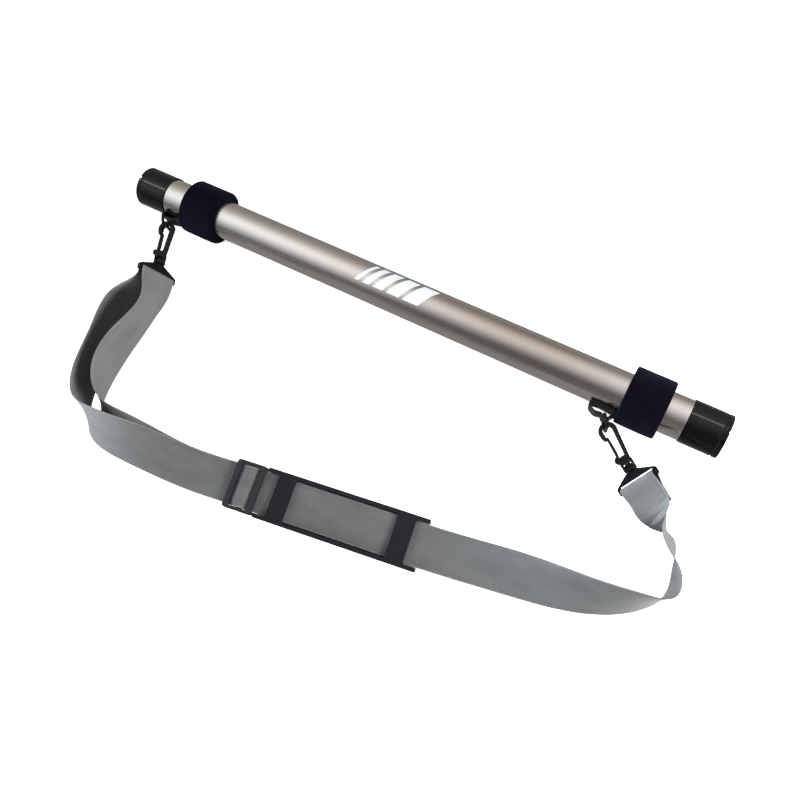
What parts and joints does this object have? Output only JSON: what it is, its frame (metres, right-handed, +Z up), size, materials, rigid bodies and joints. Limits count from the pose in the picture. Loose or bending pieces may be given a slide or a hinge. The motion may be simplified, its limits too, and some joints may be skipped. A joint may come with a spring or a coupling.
{
  "type": "rod carry tube with shoulder strap",
  "caption": "Aluminium rod tube with screw-in end plugs, hook-and-loop cuffs and an adjustable webbing shoulder strap on swivel snap hooks.",
  "frame": {"origin": "middle of the tube, on its axis", "axes": "+X along the tube towards the end whose strap hook is further in, +Z up from the surface the tube and strap lie on, the strap on the -Y side"},
  "size_m": [0.6378, 0.2889, 0.0548],
  "materials": {
    "tube_aluminium": "champagne satin anodised, fine lengthwise brushing",
    "end_black": "black anodised, glossy",
    "seal_rubber": "plain black rubber",
    "foam": "closed-cell foam",
    "cuff_fabric": "brushed loop fabric, navy black",
    "hook_tape": "woven hook tape",
    "tab_webbing": "fine black webbing",
    "buckle_black": "moulded acetal, semi-gloss",
    "gate_black": "moulded acetal, semi-gloss",
    "webbing_grey": "grey woven polypropylene webbing",
    "thread": "bonded sewing thread",
    "slider_slate": "moulded plastic, satin",
    "pad_charcoal": "moulded charcoal rubber, fine grain"
  },
  "bodies": {
    "tube": {"tube": "tube_aluminium", "collar_left": "end_black", "collar_right": "end_black"},
    "cuffs": {"cuff_left": "cuff_fabric", "cuff_right": "cuff_fabric", "hook_tape_left": "hook_tape", "hook_tape_right": "hook_tape", "tab_left": "tab_webbing", "tab_right": "tab_webbing"},
    "strap": {"webbing_main": "webbing_grey", "webbing_return": "webbing_grey", "stitching_right": "thread", "swivel_base_left": "buckle_black", "swivel_base_right": "buckle_black"},
    "hook_left": {"hook_left": "buckle_black"},
    "hook_right": {"hook_right": "buckle_black"},
    "gate_left": {"gate_left": "gate_black"},
    "gate_right": {"gate_right": "gate_black"},
    "ring_left": {"ring_left": "buckle_black"},
    "ring_right": {"ring_right": "buckle_black"},
    "pad": {"shoulder_pad": "pad_charcoal"},
    "slider": {"slider": "slider_slate"},
    "gasket_left": {"gasket_left": "seal_rubber"},
    "gasket_right": {"gasket_right": "seal_rubber"},
    "plug_left": {"plug_left": "end_black", "foam_pad_left": "foam"},
    "plug_right": {"plug_right": "end_black", "foam_pad_right": "foam"}
  },
  "joints": [
    {"name": "cuff_turn", "type": "hinge", "parent": "tube", "child": "cuffs", "pos_m": [0, 0, 0], "axis": [1, 0, 0], "continuous": true},
    {"name": "strap_swing", "type": "hinge", "parent": "cuffs", "child": "strap", "pos_m": [0, -0.0244, -0.003], "axis": [-1, 0, 0], "range_deg": [-12, 12], "deforming": ["tab_left", "tab_right"]},
    {"name": "hook_left_swivel", "type": "hinge", "parent": "strap", "child": "hook_left", "pos_m": [-0.2678, -0.03168, -0.003], "axis": [0.342, -0.9397, 0], "range_deg": [-20, 20], "deforming": ["tab_left"]},
    {"name": "ring_left_pivot", "type": "hinge", "parent": "hook_left", "child": "ring_left", "pos_m": [-0.2678, -0.03168, -0.003], "axis": [0, 0, 1], "range_deg": [-12, 12], "deforming": ["tab_left"]},
    {"name": "gate_left_open", "type": "hinge", "parent": "hook_left", "child": "gate_left", "pos_m": [-0.262, -0.06106, -0.003], "axis": [0, 0, -1], "range_deg": [0, 16]},
    {"name": "hook_right_swivel", "type": "hinge", "parent": "strap", "child": "hook_right", "pos_m": [0.21902, -0.03538, -0.003], "axis": [0.809, -0.5878, 0], "range_deg": [-20, 20], "deforming": ["tab_right"]},
    {"name": "ring_right_pivot", "type": "hinge", "parent": "hook_right", "child": "ring_right", "pos_m": [0.21902, -0.03538, -0.003], "axis": [0, 0, 1], "range_deg": [-12, 12], "deforming": ["tab_right"]},
    {"name": "gate_right_open", "type": "hinge", "parent": "hook_right", "child": "gate_right", "pos_m": [0.24026, -0.0565, -0.003], "axis": [0, 0, -1], "range_deg": [0, 16]},
    {"name": "pad_slide", "type": "slide", "parent": "strap", "child": "pad", "axis": [0.9877, 0.1564, 0], "range_m": [0, 0.02]},
    {"name": "slider_slide", "type": "slide", "parent": "strap", "child": "slider", "axis": [0.9877, 0.1564, 0], "range_m": [-0.038, 0], "deforming": ["webbing_return"]},
    {"name": "gasket_left_slide", "type": "slide", "parent": "tube", "child": "gasket_left", "axis": [-1, 0, 0], "range_m": [0, 0.0075]},
    {"name": "plug_left_turn", "type": "hinge", "parent": "gasket_left", "child": "plug_left", "pos_m": [-0.307, 0, 0], "axis": [-1, 0, 0], "range_deg": [0, 1080]},
    {"name": "gasket_right_slide", "type": "slide", "parent": "tube", "child": "gasket_right", "axis": [1, 0, 0], "range_m": [0, 0.0075]},
    {"name": "plug_right_turn", "type": "hinge", "parent": "gasket_right", "child": "plug_right", "pos_m": [0.307, 0, 0], "axis": [1, 0, 0], "range_deg": [0, 1080]}
  ],
  "couplings": [
    {"joint": "gasket_left_slide", "follows": "plug_left_turn", "m_per_rad": 0.00039789},
    {"joint": "gasket_right_slide", "follows": "plug_right_turn", "m_per_rad": 0.00039789}
  ]
}
